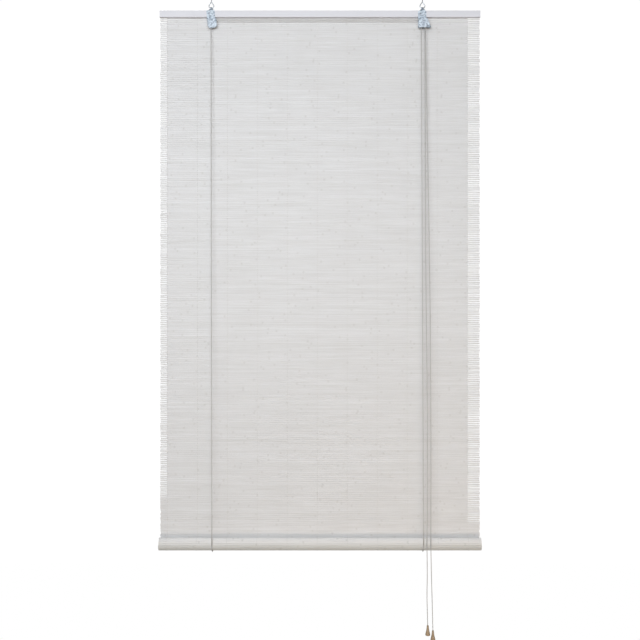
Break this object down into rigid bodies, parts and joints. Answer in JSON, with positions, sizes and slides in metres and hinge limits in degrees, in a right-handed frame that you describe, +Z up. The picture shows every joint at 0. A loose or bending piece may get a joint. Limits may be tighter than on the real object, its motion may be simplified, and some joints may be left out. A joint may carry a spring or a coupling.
{
  "type": "bamboo roll up blind",
  "caption": "Roll-up window blind of pale bamboo slats tied by thread lines, with a head batten, a left pulley bracket, a right cord lock, a bottom roll and pull cords with wooden tassels.",
  "frame": {"origin": "on the lintel's underside, above the blind's middle, in the plane of the flat screen's slats", "axes": "+Z up; +X to the right of a person who looks at the blind's front; that person stands at -Y"},
  "size_m": [0.9, 0.0502, 1.8037],
  "materials": {
    "bamboo_slats": "matte, pale grey-beige",
    "batten_wood": "matte, pale",
    "rolled_bamboo": "matte, pale grey-beige",
    "rod_wood": "matte",
    "thread": "matte cotton",
    "cord": "braided, matte",
    "zinc_steel": "zinc-plated",
    "staple_steel": "bright",
    "wheel_nylon": "satin",
    "tassel_wood": "turned, waxed"
  },
  "bodies": {
    "lintel_eyes": {"left_screw_eye": "zinc_steel", "right_screw_eye": "zinc_steel"},
    "head": {"head_batten": "batten_wood", "pulley_bracket": "zinc_steel", "lock_bracket": "zinc_steel", "bracket_screws": "zinc_steel", "left_pulley_rivet": "zinc_steel", "lock_pulley_rivet": "zinc_steel", "screen_staples": "staple_steel", "cord_staples": "staple_steel", "lift_cord_knots": "cord", "screen_slats": "bamboo_slats", "warp_threads": "thread", "left_lift_cord_cross": "cord", "right_lift_cord_lock": "cord", "left_lift_cord_back": "cord", "left_lift_cord_front": "cord", "right_lift_cord_back": "cord", "right_lift_cord_front": "cord", "pull_cord_a_upper": "cord", "pull_cord_b_upper": "cord"},
    "lift_loops": {"left_lift_cord_bight": "cord", "right_lift_cord_bight": "cord", "pull_cord_a": "cord", "pull_cord_b": "cord"},
    "roll": {"rolled_screen": "rolled_bamboo", "bottom_rod": "rod_wood"},
    "left_pulley": {"left_pulley": "wheel_nylon"},
    "lock_pulley": {"lock_pulley": "wheel_nylon"},
    "lock_pin": {"lock_roller_pin": "zinc_steel"},
    "lock_roller": {"lock_roller": "zinc_steel"},
    "tassel_a": {"tassel_a": "tassel_wood", "tassel_knot_a": "cord"},
    "tassel_b": {"tassel_b": "tassel_wood", "tassel_knot_b": "cord"}
  },
  "joints": [
    {"name": "head_swing", "type": "hinge", "parent": "lintel_eyes", "child": "head", "pos_m": [0, -0.0057, -0.0246], "axis": [1, 0, 0], "range_deg": [-25, 25]},
    {"name": "roll_lift", "type": "slide", "parent": "head", "child": "lift_loops", "axis": [0, 0, 1], "range_m": [0, 1.4], "deforming": ["screen_slats", "warp_threads", "left_lift_cord_back", "right_lift_cord_back", "left_lift_cord_front", "right_lift_cord_front", "pull_cord_a_upper", "pull_cord_b_upper"]},
    {"name": "roll_spin", "type": "hinge", "parent": "lift_loops", "child": "roll", "pos_m": [0, -0.01765, -1.526], "axis": [-1, 0, 0], "range_deg": [0, 4545]},
    {"name": "left_pulley_spin", "type": "hinge", "parent": "head", "child": "left_pulley", "pos_m": [-0.2986, -0.0145, -0.066], "axis": [0, 1, 0], "continuous": true},
    {"name": "lock_pulley_spin", "type": "hinge", "parent": "head", "child": "lock_pulley", "pos_m": [0.29, -0.01605, -0.066], "axis": [0, 1, 0], "continuous": true},
    {"name": "lock_roller_drop", "type": "slide", "parent": "head", "child": "lock_pin", "axis": [0.3843, 0, -0.9232], "range_m": [0, 0.005]},
    {"name": "lock_roller_spin", "type": "hinge", "parent": "lock_pin", "child": "lock_roller", "pos_m": [0.29796, -0.01605, -0.07254], "axis": [0, -1, 0], "continuous": true},
    {"name": "tassel_a_drop", "type": "slide", "parent": "lift_loops", "child": "tassel_a", "axis": [0, 0, -1], "range_m": [0, 4.2], "deforming": ["pull_cord_a"]},
    {"name": "tassel_b_drop", "type": "slide", "parent": "lift_loops", "child": "tassel_b", "axis": [0, 0, -1], "range_m": [0, 4.2], "deforming": ["pull_cord_b"]}
  ],
  "couplings": [
    {"joint": "roll_spin", "follows": "roll_lift", "rad_per_m": 56.657},
    {"joint": "left_pulley_spin", "follows": "roll_lift", "rad_per_m": 303.03},
    {"joint": "lock_pulley_spin", "follows": "roll_lift", "rad_per_m": 303.03},
    {"joint": "lock_roller_spin", "follows": "roll_lift", "rad_per_m": 833.33},
    {"joint": "tassel_a_drop", "follows": "roll_lift", "ratio": 3},
    {"joint": "tassel_b_drop", "follows": "roll_lift", "ratio": 3}
  ]
}
